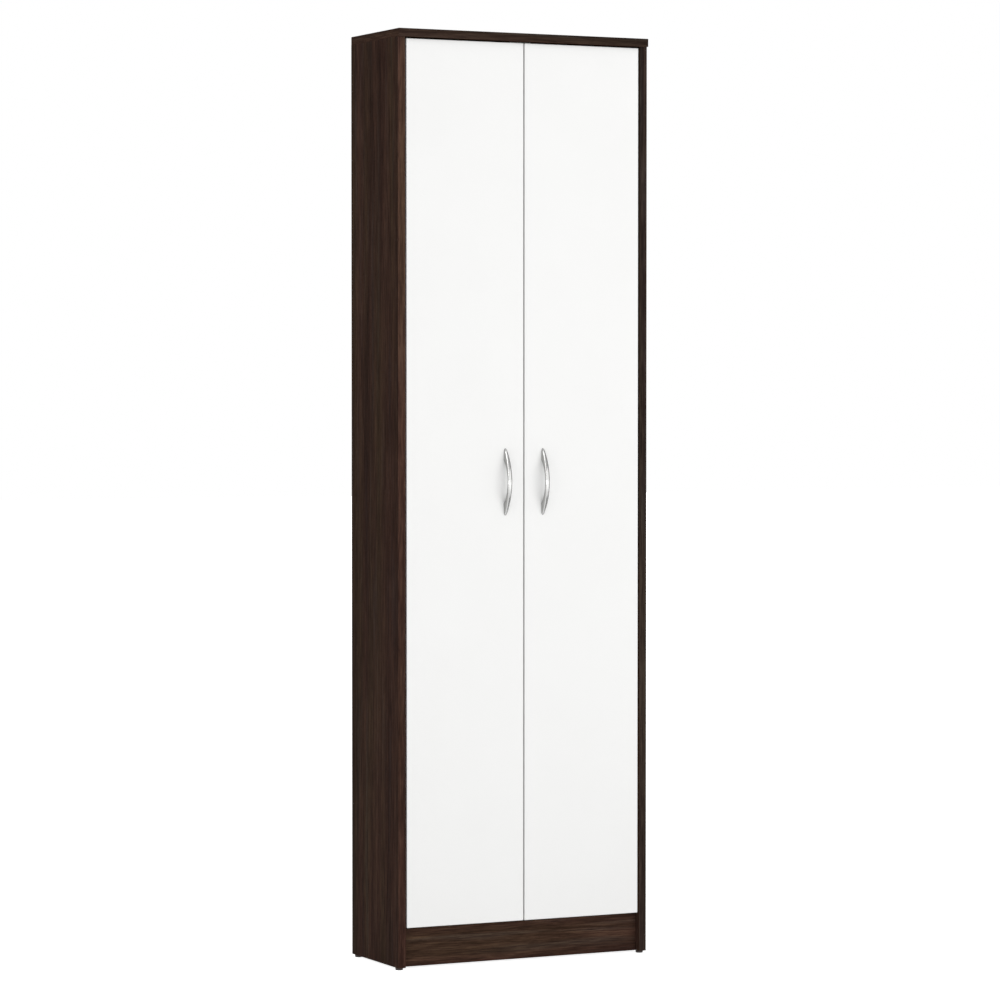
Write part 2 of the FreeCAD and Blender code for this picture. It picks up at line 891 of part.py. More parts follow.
def write_pair(name, pieces):
    """A piece of the left half, and its mirror image in the right half."""
    pieces = pieces if isinstance(pieces, list) else [pieces]
    write("left_" + name, pieces)
    write("right_" + name, [mirrored(piece) for piece in pieces])


def write_frame():
    write_pair("side", left_side())
    write("top_panel", top_panel())
    write("bottom_panel", bottom_panel())
    write("fixed_shelf", fixed_shelf())
    write("plinth", plinth())
    for order, number in enumerate(loose_shelves):
        write("adjustable_shelf_" + str(order + 1), loose_shelf(number))
    for sheet in sheet_spans:
        write(sheet + "_back_panel", back_panel(sheet))
    for name, y in zip(("front_glide", "rear_glide"), glide_lines()):
        write_pair(name, glide(y))


def write_fittings():
    write("cam_locks", cam_locks())
    write("cam_bolts", cam_bolts())
    write("dowels", dowels())
    write("shelf_pins", shelf_pins())
    write("back_nails", back_nails())
    write("hinge_plate_screws", plate_screws())
    write("hinge_arm_screws", arm_screws())
    for catch in catch_seats:
        write(catch + "_catch", catch_body(catch))
    write("catch_magnets", catch_magnets())
    write("catch_screws", catch_screws())


def write_doors():
    write_pair("door", left_door())
    write_pair("handle", left_handle())
    write_pair("handle_screws", handle_screws())
    write_pair("strikes", left_strikes())
    write_pair("strike_screws", left_strike_screws())


def write_hinges():
    for order, z in enumerate(hinge_heights):
        number = str(order + 1)
        write_pair("hinge_cup_" + number, hinge_cup(z))
        write_pair("hinge_arm_" + number, hinge_arm(z))
        write_pair("hinge_plate_" + number, hinge_plate(z))
    write_pair("hinge_pivots", hinge_pivots())
    write_pair("cup_screws", cup_screws())


os.makedirs("parts", exist_ok=True)
write_frame()
write_fittings()
write_doors()
write_hinges()
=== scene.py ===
# %% [markdown]
# A tall cupboard of dark grained board with two plain white doors, dressed for a photograph. The
# boards, doors and hinges come ready made at their real size, so this lesson is about finishes:
# what makes printed wood grain look like board, what makes white laminate look real, and how satin
# metal catches light. The handles and the screws are modelled here, where the eye goes first.

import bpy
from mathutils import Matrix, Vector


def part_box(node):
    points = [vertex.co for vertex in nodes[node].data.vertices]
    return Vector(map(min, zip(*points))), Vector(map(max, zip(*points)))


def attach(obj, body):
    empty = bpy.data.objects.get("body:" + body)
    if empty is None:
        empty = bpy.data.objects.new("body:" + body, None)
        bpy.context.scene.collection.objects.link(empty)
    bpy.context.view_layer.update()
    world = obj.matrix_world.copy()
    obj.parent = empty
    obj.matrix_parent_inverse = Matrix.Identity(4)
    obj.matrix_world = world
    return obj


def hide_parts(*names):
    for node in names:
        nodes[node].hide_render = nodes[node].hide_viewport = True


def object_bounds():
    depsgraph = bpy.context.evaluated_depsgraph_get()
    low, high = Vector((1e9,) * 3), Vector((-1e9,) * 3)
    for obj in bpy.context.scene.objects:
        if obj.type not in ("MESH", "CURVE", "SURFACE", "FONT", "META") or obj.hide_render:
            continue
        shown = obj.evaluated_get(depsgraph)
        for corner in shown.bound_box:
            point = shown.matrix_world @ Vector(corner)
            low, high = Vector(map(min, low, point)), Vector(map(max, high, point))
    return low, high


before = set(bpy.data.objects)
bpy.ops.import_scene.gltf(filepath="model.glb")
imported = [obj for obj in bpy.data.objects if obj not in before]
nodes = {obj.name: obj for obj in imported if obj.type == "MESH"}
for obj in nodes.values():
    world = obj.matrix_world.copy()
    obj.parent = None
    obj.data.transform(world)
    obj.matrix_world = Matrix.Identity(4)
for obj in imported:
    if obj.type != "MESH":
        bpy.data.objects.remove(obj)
model_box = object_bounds()

# %% [markdown]
# Everything below is in metres, in the model's own frame: the floor is z = 0, the front faces -Y.
# Places and sizes of the pieces are read from the model, so nothing is typed twice.

# %% Imports and units
import math

import bpy
from mathutils import Vector

MM = 0.001
print("overall size in mm", [round(value / MM, 1) for value in model_box[1] - model_box[0]])

# %% [markdown]
# The camera stands to the left of the front, a little above the middle of the cupboard, and looks
# slightly down. It is far away with a long lens, so the cupboard's edges stay nearly parallel.

# %% Camera
SENSOR_WIDTH = 36.0
LENS = 139.22
CAMERA_PLACE = (-3.4264, -6.9507, 1.1427)
LEVEL = math.radians(90)
CAMERA_YAW = math.radians(26.216)
CAMERA_PITCH = math.radians(-1.675)


def make_camera():
    """A new camera looks straight down, so a quarter turn levels it before the pitch is added."""
    data = bpy.data.cameras.new("camera")
    data.lens = LENS
    data.sensor_width = SENSOR_WIDTH
    made = bpy.data.objects.new("camera", data)
    bpy.context.scene.collection.objects.link(made)
    made.location = CAMERA_PLACE
    made.rotation_euler = (LEVEL + CAMERA_PITCH, 0, -CAMERA_YAW)
    bpy.context.scene.camera = made
    return made


camera = make_camera()
print("camera", tuple(round(value, 2) for value in camera.location))

# %% [markdown]
# Node sums are easier to read as formulas than as boxes and links. A Wire is one output of a node,
# and adding, multiplying or comparing wires makes the Math nodes.

# %% Wires


class Wire:
    """One output of a node that can be used in sums."""

    def __init__(self, graph, socket):
        self.graph = graph
        self.socket = socket

    def maths(self, operation, *values):
        return self.graph.add("ShaderNodeMath", {"operation": operation}, values)

    def __add__(self, other):
        return self.maths("ADD", self, other)

    def __sub__(self, other):
        return self.maths("SUBTRACT", self, other)

    def __rsub__(self, other):
        return self.maths("SUBTRACT", other, self)

    def __mul__(self, other):
        return self.maths("MULTIPLY", self, other)

    def __abs__(self):
        return self.maths("ABSOLUTE", self)

    __radd__ = __add__
    __rmul__ = __mul__

    def over(self, edge):
        return self.maths("GREATER_THAN", self, edge)

    def least(self, other):
        return self.maths("MINIMUM", self, other)

    def most(self, other):
        return self.maths("MAXIMUM", self, other)

    def ramp(self, start, end):
        """0 at start, 1 at end and a straight line between them, also where end is the lower."""
        values = {"Value": self, "From Min": start, "From Max": end}
        return self.graph.add("ShaderNodeMapRange", {"clamp": True}, values)


print("wires can", [name for name in vars(Wire) if not name.startswith("_")])

# %% [markdown]
# A Graph makes every other node: it sets the node's settings first, and then its values or links.
# Finishes and shapes both use it.

# %% Graphs


class Graph:
    """A tree of nodes, and the one way that nodes are added to it."""

    def __init__(self, tree):
        self.tree = tree

    def add(self, kind, settings=None, values=(), output=0):
        node = self.tree.nodes.new(kind)
        for name, value in (settings or {}).items():
            setattr(node, name, value)
        pairs = values.items() if isinstance(values, dict) else enumerate(values)
        for name, value in pairs:
            self.feed(node.inputs[name], value)
        return Wire(self, node.outputs[output])

    def feed(self, socket, value):
        """A value, a wire, or a list of wires for a socket that takes several."""
        if isinstance(value, (Wire, list)):
            for wire in value if isinstance(value, list) else [value]:
                self.tree.links.new(wire.socket, socket)
        else:
            socket.default_value = value

    def vector(self, operation, *values):
        return self.add("ShaderNodeVectorMath", {"operation": operation}, values)

    def parts(self, vector):
        """The three numbers of a vector."""
        node = self.add("ShaderNodeSeparateXYZ", values=[vector]).socket.node
        return [Wire(self, socket) for socket in node.outputs]


print("graphs can", [name for name in vars(Graph) if not name.startswith("_")])

# %% [markdown]
# A Finish is the graph of one material. Its patterns are read at a point's place in the model, so
# a streak keeps its real size on every board, and a pattern goes on round a corner without a seam.

# %% Finishes


class Finish(Graph):
    """The nodes of one material."""

    def __init__(self, name):
        self.material = bpy.data.materials.new(name)
        self.material.use_nodes = True
        super().__init__(self.material.node_tree)
        self.shader = self.tree.nodes["Principled BSDF"]

    def done(self, **values):
        """Sets the shader's own sockets, where Base_Color stands for Base Color."""
        for name, value in values.items():
            self.feed(self.shader.inputs[name.replace("_", " ")], value)
        return self.material

    def place(self):
        """Where a point lies in the model, in metres."""
        return self.add("ShaderNodeTexCoord", output="Object")

    def noise(self, vector, scale=1.0, detail=2.0, roughness=0.5, output=0):
        values = {"Vector": vector, "Scale": scale, "Detail": detail, "Roughness": roughness}
        return self.add("ShaderNodeTexNoise", values=values, output=output)

    def blend(self, factor, first, second):
        """A mix of two colours, each four numbers or a wire."""
        return self.add("ShaderNodeMix", {"data_type": "RGBA"}, {0: factor, 6: first, 7: second}, 2)

    def tint(self, factor, colour, tint):
        """The colour times a tint, as far as factor says."""
        settings = {"data_type": "RGBA", "blend_type": "MULTIPLY"}
        return self.add("ShaderNodeMix", settings, {0: factor, 6: colour, 7: tint}, 2)

    def bump(self, heights, distance, strength=1.0):
        values = {"Height": heights, "Distance": distance, "Strength": strength}
        return self.add("ShaderNodeBump", values=values, output="Normal")


def give(piece, material):
    """Puts one material on a whole piece."""
    piece.data.materials.clear()
    piece.data.materials.append(material)


print("finishes can", [name for name in vars(Finish) if not name.startswith("_")])

# %% [markdown]
# A shader works with linear light, while a colour picked from a screen is curved for the eye. So
# every colour is written as it looks on screen and straightened by the screen's own formula.

# %% Colours
SCREEN_MAX = 255
CURVE_OFFSET, CURVE_POWER = 0.055, 2.4


def screen_colour(red, green, blue):
    """A colour as it looks on screen, from 0 to 255, turned into a shader's linear numbers."""
    shares = [part / SCREEN_MAX for part in (red, green, blue)]
    return (*(((part + CURVE_OFFSET) / (1 + CURVE_OFFSET)) ** CURVE_POWER for part in shares), 1.0)


def dimmed(colour, share):
    """The colour with only this share of its light."""
    return (*(part * share for part in colour[:3]), 1.0)


BLACK = (0.0, 0.0, 0.0, 1.0)
WHITE = (1.0, 1.0, 1.0, 1.0)
print("middle grey in linear numbers", round(screen_colour(128, 128, 128)[0], 3))

# %% [markdown]
# How deep a point lies inside a board tells what can be seen there. At the surface there is
# printed foil. Deeper than the foil, as in a drilled hole, there is bare chipboard. Near an arris,
# where two faces meet, the foil of the edge band is lighter in scuffed patches: partly wear, and
# partly a painted highlight for the light that a rounded arris catches. All three come from the
# point's distances to the faces of the board's box.

# %% Where a point lies in its board
FOIL_DEPTH = 1.2 * MM
CHIP_SCALE = 800.0
CHIP_REACH = (0.4, 0.6)
CHIPBOARD_TONES = (screen_colour(178, 148, 110), screen_colour(120, 90, 60))


def distances(finish, board_box):
    """How far a point is from the nearest face of the box, along x, y and z."""
    box_low, box_high = board_box
    from_centre = finish.vector("SUBTRACT", finish.place(), (box_low + box_high) / 2)
    reach = finish.vector("ABSOLUTE", from_centre)
    return finish.parts(finish.vector("SUBTRACT", (box_high - box_low) / 2, reach))


def arris(x, y, z):
    """The distance to the nearest arris: the middle one of the three distances to the faces."""
    return x.least(y).most(x.most(y).least(z))


def bare_chipboard(finish, surface, x, y, z):
    """The surface's colour, with chipboard where it was cut open, and the mask of those places."""
    chips = finish.noise(finish.place(), CHIP_SCALE, 3.0, 0.7)
    bare = finish.blend(chips.ramp(*CHIP_REACH), *CHIPBOARD_TONES)
    inside = x.least(y).least(z).over(FOIL_DEPTH)
    return finish.blend(inside, surface, bare), inside


print("chipboard shows deeper than", FOIL_DEPTH / MM, "mm")

# %% [markdown]
# The dark boards carry a printed foil with long, straight, slightly reddish streaks that run along
# the board. An image of real foil would repeat from board to board, so the print is made of noise
# that is squeezed across the grain and drawn out along it. Four sizes lie over each other: broad
# bands, streaks, fine lines and hair-thin pores. A slow warp keeps the lines from being ruler
# straight, and a slow change of hue makes some bands redder, greener or greyer.

# %% Dark foil pattern
GRAIN_SCALES = {
    "warp": (4.0, 1.1),
    "band": (27.0, 1.0),
    "streak": (150.0, 7.0),
    "line": (480.0, 22.0),
    "pore": (2000.0, 75.0),
}
BAND_SHARE, STREAK_SHARE, LINE_SHARE = 0.36, 0.28, 0.36
WARP = 0.022
PORE_REACH = (0.4, 0.3)
PORE_SHADE = 0.6
DEEP_TONE = screen_colour(49, 34, 28)
MEAN_TONE = screen_colour(67, 48, 40)
LIGHT_TONE = screen_colour(88, 66, 54)
PORE_TONE = screen_colour(30, 21, 18)
DEEP_TO_MEAN, MEAN_TO_LIGHT = (0.4, 0.5), (0.5, 0.61)
HUE_SCALE, GREYNESS_SCALE = 0.7, 0.5
RED_TINT, RED_REACH = (1.06, 0.96, 0.97, 1.0), (0.36, 0.64)
OLIVE_TINT, OLIVE_REACH = (0.96, 1.03, 0.9, 1.0), (0.56, 0.36)
GREY_TINT, GREY_REACH = (0.9, 1.02, 1.16, 1.0), (0.52, 0.7)
STREAK_HEIGHT, LINE_HEIGHT, PORE_HEIGHT = 0.5, 0.3, 0.8


def grained(finish, spot, part, grain):
    """The place, squeezed across the grain and drawn out along it."""
    across, along = GRAIN_SCALES[part]
    scales = tuple(along if axis == grain else across for axis in "xyz")
    return finish.vector("MULTIPLY", spot, scales)


def foil_pattern(finish, spot, grain):
    """The printed colour of the foil, and its heights: streaks stand up and pores are sunk."""
    wander = finish.noise(grained(finish, spot, "warp", grain), detail=1.0, output=1)
    spot = finish.vector("MULTIPLY_ADD", wander, (WARP, WARP, WARP), spot)
    band = finish.noise(grained(finish, spot, "band", grain), detail=2.0)
    streak = finish.noise(grained(finish, spot, "streak", grain), detail=3.0)
    line = finish.noise(grained(finish, spot, "line", grain), detail=2.0)
    pore = finish.noise(grained(finish, spot, "pore", grain), detail=1.0).ramp(*PORE_REACH)
    tone = band * BAND_SHARE + streak * STREAK_SHARE + line * LINE_SHARE
    foil = finish.blend(tone.ramp(*DEEP_TO_MEAN), DEEP_TONE, MEAN_TONE)
    foil = finish.blend(tone.ramp(*MEAN_TO_LIGHT), foil, LIGHT_TONE)
    hue = finish.noise(grained(finish, spot, "band", grain), HUE_SCALE, 1.0)
    greyness = finish.noise(grained(finish, spot, "streak", grain), GREYNESS_SCALE, 1.0)
    foil = finish.tint(hue.ramp(*RED_REACH), foil, RED_TINT)
    foil = finish.tint(hue.ramp(*OLIVE_REACH), foil, OLIVE_TINT)
    foil = finish.tint(greyness.ramp(*GREY_REACH), foil, GREY_TINT)
    heights = streak * STREAK_HEIGHT + line * LINE_HEIGHT - pore * PORE_HEIGHT
    return finish.blend(pore * PORE_SHADE, foil, PORE_TONE), heights


print("grain parts", list(GRAIN_SCALES))

# %% [markdown]
# Each board is cut from another place of the foil, so no two are alike. The front edge of a board
# carries a band glued on later, from yet another roll: its pattern is moved, it has a tint of its
# own, and a hairline shows where it meets the face. A band's grain runs along the band, so on the
# ends of the boards that lie flat the pattern is turned from left and right to front and back.

# %% Dark boards
BAND_SHIFT = (0.37, 0.0, 0.61)
BAND_REACH = (0.3 * MM, 0.2 * MM)
BAND_SEAM = 0.9 * MM
SEAM_REACH = (0.12 * MM, 0.05 * MM)
SEAM_SHADE = 0.4
# The arris tone below is partly wear and partly a painted highlight, lighter where a rounded arris
# catches light.
WEAR_AND_HIGHLIGHT_REACH = (0.9 * MM, 0.2 * MM)
WEAR_AND_HIGHLIGHT_TONE = screen_colour(104, 80, 64)
WEAR_AND_HIGHLIGHT_SHARE = 0.35
SCUFF_SCALE = 55.0
SCUFF_REACH = (0.45, 0.75)
FOIL_ROUGHNESS = 0.52
HEIGHT_ROUGHNESS, WORN_ROUGHNESS, BARE_ROUGHNESS = 0.1, 0.1, 0.3
FOIL_RELIEF, FOIL_RELIEF_STRENGTH = 0.06 * MM, 0.6
FOIL_GLOSS = 0.004
# The side boards are the same foil as their fronts; this tint paints shade on them, for the weaker
# light that falls on their faces.
SIDE_PAINTED_SHADE = (0.64, 0.64, 0.63, 1.0)
# board: the axis of its grain, its place on the foil, the tints of its faces (a painted shade on
# the side boards) and of its front
DARK_BOARDS = {
    "left_side": ("z", (0.0, 0.0, 0.0), SIDE_PAINTED_SHADE, (0.94, 0.94, 0.97, 1.0)),
    "right_side": ("z", (1.3, 0.4, 2.0), SIDE_PAINTED_SHADE, (0.54, 0.7, 0.82, 1.0)),
    "top_panel": ("x", (0.5, 0.2, 3.1), (0.72, 0.72, 0.72, 1.0), (0.58, 0.68, 0.74, 1.0)),
    "bottom_panel": ("x", (2.2, 0.7, 1.4), WHITE, WHITE),
    "fixed_shelf": ("x", (3.1, 1.1, 0.3), WHITE, WHITE),
    "plinth": ("x", (0.2, 1.9, 0.5), WHITE, (1.08, 1.08, 1.1, 1.0)),
    "adjustable_shelf_1": ("x", (4.0, 0.1, 0.9), WHITE, WHITE),
    "adjustable_shelf_2": ("x", (5.2, 1.6, 0.2), WHITE, WHITE),
    "adjustable_shelf_3": ("x", (6.1, 2.3, 1.7), WHITE, WHITE),
}


def turned_on_ends(finish, spot, x):
    """The place, with x and y changed over on a board's ends."""
    on_end = x.ramp(*BAND_REACH)
    along, deep, high = finish.parts(spot)
    turned = finish.add("ShaderNodeCombineXYZ", values=[deep, along, high])
    settings = {"data_type": "VECTOR"}
    return finish.add("ShaderNodeMix", settings, {0: on_end, 4: spot, 5: turned}, 1)


def dark_foil(name, board_box, grain, cut_from, face_tint_and_shade, front_tone):
    finish = Finish(name)
    x, y, z = distances(finish, board_box)
    from_front = finish.parts(finish.place())[1] - board_box[0].y
    on_band = from_front.ramp(*BAND_REACH)
    shift = {0: BAND_SHIFT, "Scale": on_band}
    moved = finish.add("ShaderNodeVectorMath", {"operation": "SCALE"}, shift)
    spot = finish.vector("ADD", finish.vector("ADD", finish.place(), cut_from), moved)
    if grain == "x":
        spot = turned_on_ends(finish, spot, x)
    foil, heights = foil_pattern(finish, spot, grain)
    # On the side boards the face tint is painted shade, for the weaker light on their faces; on the
    # other boards it is plain tone.
    foil = finish.tint(1.0, foil, finish.blend(on_band, face_tint_and_shade, front_tone))
    seam = abs(from_front - BAND_SEAM).ramp(*SEAM_REACH)
    foil = finish.blend(seam * SEAM_SHADE, foil, PORE_TONE)
    scuffs = finish.noise(finish.place(), SCUFF_SCALE, 3.0).ramp(*SCUFF_REACH)
    # Wear and painted highlight: arrises are lightened in scuffed patches, partly worn foil and
    # partly the light a rounded arris catches.
    wear_and_highlight = arris(x, y, z).ramp(*WEAR_AND_HIGHLIGHT_REACH) * scuffs
    foil = finish.blend(wear_and_highlight * WEAR_AND_HIGHLIGHT_SHARE, foil, WEAR_AND_HIGHLIGHT_TONE)
    foil, inside = bare_chipboard(finish, foil, x, y, z)
    rough = FOIL_ROUGHNESS - heights * HEIGHT_ROUGHNESS + wear_and_highlight * WORN_ROUGHNESS
    rough = rough + inside * BARE_ROUGHNESS
    relief = finish.bump(heights, FOIL_RELIEF, FOIL_RELIEF_STRENGTH)
    values = {"Base_Color": foil, "Roughness": rough, "Normal": relief}
    return finish.done(**values, Specular_IOR_Level=FOIL_GLOSS)


for board, looks in DARK_BOARDS.items():
    give(nodes[board], dark_foil(board + "_foil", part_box(board), *looks))
print("dark boards", len(DARK_BOARDS))

# %% [markdown]
# The doors are the same chipboard under a plain white foil. Plain white is the hardest finish to
# make believable: what sells it is a faint orange peel in the surface that breaks up the
# highlights, a slightly uneven gloss, and a hairline where the face foil meets the band glued on
# the edge.

# %% White doors
WHITE_TONE = screen_colour(240, 240, 239)
SEAM_TONE = screen_colour(206, 204, 200)
DOOR_SEAM = 1.3 * MM
DOOR_SEAM_REACH = (0.14 * MM, 0.05 * MM)
DOOR_SEAM_SHADE = 0.5
PEEL_SCALE = 1100.0
PEEL_RELIEF, PEEL_STRENGTH = 0.02 * MM, 0.35
GLOSS_CLOUD_SCALE = 7.0
GLOSS_CLOUD_REACH, GLOSS_CLOUD_SHADE = (0.3, 0.7), 0.03
DOOR_ROUGHNESS = 0.38
DOOR_CLOUD_ROUGHNESS, DOOR_BARE_ROUGHNESS = 0.08, 0.4
DOOR_GLOSS = 0.35
DOORS = ("left_door", "right_door")


def white_foil(name, board_box):
    finish = Finish(name)
    x, y, z = distances(finish, board_box)
    peel = finish.noise(finish.place(), PEEL_SCALE, 2.0)
    cloud = finish.noise(finish.place(), GLOSS_CLOUD_SCALE, 2.0)
    seam = abs(x.least(z) - DOOR_SEAM).ramp(*DOOR_SEAM_REACH)
    white = finish.blend(seam * DOOR_SEAM_SHADE, WHITE_TONE, SEAM_TONE)
    unevenness = cloud.ramp(*GLOSS_CLOUD_REACH) * GLOSS_CLOUD_SHADE
    white = finish.blend(unevenness, white, SEAM_TONE)
    white, inside = bare_chipboard(finish, white, x, y, z)
    rough = DOOR_ROUGHNESS + cloud * DOOR_CLOUD_ROUGHNESS + inside * DOOR_BARE_ROUGHNESS
    relief = finish.bump(peel - seam * DOOR_SEAM_SHADE, PEEL_RELIEF, PEEL_STRENGTH)
    values = {"Base_Color": white, "Roughness": rough, "Normal": relief}
    return finish.done(**values, Specular_IOR_Level=DOOR_GLOSS)


for door in DOORS:
    give(nodes[door], white_foil(door + "_foil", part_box(door)))
print("white doors", len(DOORS))

# %% [markdown]
# The back is two thin sheets of pressed fibre: white foil towards the inside, bare brown behind.
# Fine fibres, darker flecks that lie flat, and faint clouds make the mottled look of pressed
# fibre.

# %% Back sheets
FIBRE_TONES = (screen_colour(150, 112, 76), screen_colour(116, 82, 52))
FLECK_TONE = screen_colour(92, 62, 40)
CLOUD_TONE = screen_colour(128, 96, 66)
INNER_WHITE = screen_colour(234, 234, 232)
FIBRE_SCALE, FIBRE_REACH = 1500.0, (0.35, 0.65)
FLECK_SCALE, FLECK_REACH, FLECK_SHADE = (260.0, 260.0, 420.0), (0.6, 0.72), 0.5
CLOUD_SCALE, CLOUD_REACH, CLOUD_BLEND = 14.0, (0.35, 0.7), 0.35
INNER_FOIL = 0.2 * MM
SHEET_ROUGHNESS = 0.45
BEHIND_ROUGHNESS, FIBRE_ROUGHNESS = 0.3, 0.08
FLECK_HEIGHT = 0.5
SHEET_RELIEF, SHEET_RELIEF_STRENGTH = 0.04 * MM, 0.5
SHEET_GLOSS = 0.2
SHEETS = ("lower_back_panel", "upper_back_panel")


def fibre_sheet(name, board_box):
    finish = Finish(name)
    fibres = finish.noise(finish.place(), FIBRE_SCALE, 4.0, 0.7)
    flecks = finish.noise(finish.vector("MULTIPLY", finish.place(), FLECK_SCALE), detail=3.0)
    cloud = finish.noise(finish.place(), CLOUD_SCALE, 3.0)
    bare = finish.blend(fibres.ramp(*FIBRE_REACH), *FIBRE_TONES)
    bare = finish.blend(flecks.ramp(*FLECK_REACH) * FLECK_SHADE, bare, FLECK_TONE)
    bare = finish.blend(cloud.ramp(*CLOUD_REACH) * CLOUD_BLEND, bare, CLOUD_TONE)
    behind = (finish.parts(finish.place())[1] - board_box[0].y).over(INNER_FOIL)
    shade = finish.blend(behind, INNER_WHITE, bare)
    rough = SHEET_ROUGHNESS + behind * BEHIND_ROUGHNESS + fibres * FIBRE_ROUGHNESS
    relief = finish.bump(fibres + flecks * FLECK_HEIGHT, SHEET_RELIEF, SHEET_RELIEF_STRENGTH)
    values = {"Base_Color": shade, "Roughness": rough, "Normal": relief}
    return finish.done(**values, Specular_IOR_Level=SHEET_GLOSS)


for sheet in SHEETS:
    give(nodes[sheet], fibre_sheet(sheet + "_fibre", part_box(sheet)))
print("back sheets", len(SHEETS))

# %% [markdown]
# Metal comes in four looks: smooth satin on the handles, with its fine scratches along the bow,
# plating on the hinges and the strike plates, duller plating on the screws, and grey castings for
# the locks in the board joints. All are metallic, and what tells them apart is their tone, how
# rough they are and which way the scratches run: a scratch is long where its scale is low.

# %% Metals
SMUDGE_SCALE = 70.0
SCRATCH_RELIEF, SCRATCH_STRENGTH = 0.01 * MM, 0.3
SCRATCH_REACH, SCRATCH_BLEND, SCRATCH_SHADE = (0.35, 0.65), 0.4, 0.82
NOISE_MIDDLE = 0.5
ALONG_THE_BOW = (2600.0, 2600.0, 70.0)
SIDEWAYS = (110.0, 110.0, 2200.0)
EVEN_FINE = (900.0, 900.0, 900.0)
EVEN_COARSE = (700.0, 700.0, 700.0)


def metal(name, tone, roughness, scratch_scale, unevenness=0.1):
    finish = Finish(name)
    scratches = finish.noise(finish.vector("MULTIPLY", finish.place(), scratch_scale), detail=3.0)
    smudges = finish.noise(finish.place(), SMUDGE_SCALE, 2.0)
    rough = roughness + (scratches - NOISE_MIDDLE) * unevenness
    rough = rough + (smudges - NOISE_MIDDLE) * unevenness
    seen = scratches.ramp(*SCRATCH_REACH) * SCRATCH_BLEND
    shade = finish.blend(seen, tone, dimmed(tone, SCRATCH_SHADE))
    relief = finish.bump(scratches, SCRATCH_RELIEF, SCRATCH_STRENGTH)
    return finish.done(Base_Color=shade, Roughness=rough, Normal=relief, Metallic=1.0)


satin_metal = metal("satin_metal", screen_colour(168, 168, 167), 0.2, ALONG_THE_BOW)
plated_steel = metal("plated_steel", screen_colour(206, 204, 199), 0.24, SIDEWAYS)
screw_steel = metal("screw_steel", screen_colour(194, 192, 188), 0.3, EVEN_FINE)
cast_zinc = metal("cast_zinc", screen_colour(164, 164, 166), 0.48, EVEN_COARSE, unevenness=0.25)
METALS = (satin_metal, plated_steel, screw_steel, cast_zinc)
print("metals", [made.name for made in METALS])

# %% [markdown]
# The remaining small parts are moulded plastic, turned beech and a pressed magnet. Plastic and the
# magnet share a recipe: a fine grain from the mould, and a cloudy tone. Beech has rays, short dark
# lines that run along the dowel.

# %% Plastics, beech and magnet
PLASTIC_GRAIN = 2600.0
MAGNET_GRAIN = 900.0
PLASTIC_CLOUD = 130.0
PLASTIC_CLOUD_REACH, PLASTIC_CLOUD_BLEND, CLOUD_SHADE = (0.3, 0.7), 0.5, 0.8
PLASTIC_CLOUD_ROUGHNESS = 0.12
MOULD_RELIEF, MOULD_STRENGTH = 0.02 * MM, 0.4
BEECH_RAYS, RAY_REACH, RAY_ROUGHNESS = (60.0, 1500.0, 1500.0), (0.35, 0.65), 0.1
BEECH_TONES = (screen_colour(216, 182, 136), screen_colour(184, 146, 100))
BEECH_ROUGHNESS = 0.55
BEECH_RELIEF = 0.04 * MM


def moulded(name, tone, roughness, grain_scale=PLASTIC_GRAIN):
    finish = Finish(name)
    grain = finish.noise(finish.place(), grain_scale, 2.0)
    cloud = finish.noise(finish.place(), PLASTIC_CLOUD, 2.0)
    seen = cloud.ramp(*PLASTIC_CLOUD_REACH) * PLASTIC_CLOUD_BLEND
    shade = finish.blend(seen, tone, dimmed(tone, CLOUD_SHADE))
    rough = roughness + cloud * PLASTIC_CLOUD_ROUGHNESS
    relief = finish.bump(grain, MOULD_RELIEF, MOULD_STRENGTH)
    return finish.done(Base_Color=shade, Roughness=rough, Normal=relief)


def turned_beech():
    finish = Finish("beech")
    rays = finish.noise(finish.vector("MULTIPLY", finish.place(), BEECH_RAYS), detail=3.0)
    shade = finish.blend(rays.ramp(*RAY_REACH), *BEECH_TONES)
    rough = BEECH_ROUGHNESS + rays * RAY_ROUGHNESS
    relief = finish.bump(rays, BEECH_RELIEF)
    return finish.done(Base_Color=shade, Roughness=rough, Normal=relief)


dark_plastic = moulded("dark_plastic", screen_colour(50, 40, 36), 0.45)
white_plastic = moulded("white_plastic", screen_colour(228, 228, 224), 0.36)
pin_plastic = moulded("pin_plastic", screen_colour(208, 210, 208), 0.3)
magnet = moulded("magnet", screen_colour(54, 54, 57), 0.6, MAGNET_GRAIN)
beech = turned_beech()
SMALL_FINISHES = (dark_plastic, white_plastic, pin_plastic, magnet, beech)
print("other finishes", [made.name for made in SMALL_FINISHES])

# %% [markdown]
# Each fitting is named for what it is, so its finish is looked up by the end of its name, with the
# number left out: left_hinge_cup_2 takes the finish of a hinge_cup.

# %% Finishes of the fittings
FITTING_FINISHES = {
    "strikes": plated_steel,
    "hinge_pivots": screw_steel,
    "hinge_cup": plated_steel,
    "hinge_arm": plated_steel,
    "hinge_plate": plated_steel,
    "cam_locks": cast_zinc,
    "cam_bolts": cast_zinc,
    "dowels": beech,
    "shelf_pins": pin_plastic,
    "catch_magnets": magnet,
    "catch": white_plastic,
    "glide": dark_plastic,
}


def finish_fittings():
    done = []
    for name, piece in nodes.items():
        plain = name.rstrip("_0123456789")
        for kind, material in FITTING_FINISHES.items():
            if plain.endswith(kind):
                give(piece, material)
                done.append(name)
    return done


print("fittings finished", len(finish_fittings()))

# %% [markdown]
# A piece made here is a mesh at its place in the model. It is shaded smooth but for its creases,
# it gets its finish and rides on a body, and the model's piece that it stands for is hidden.

# %% Setting a finished piece


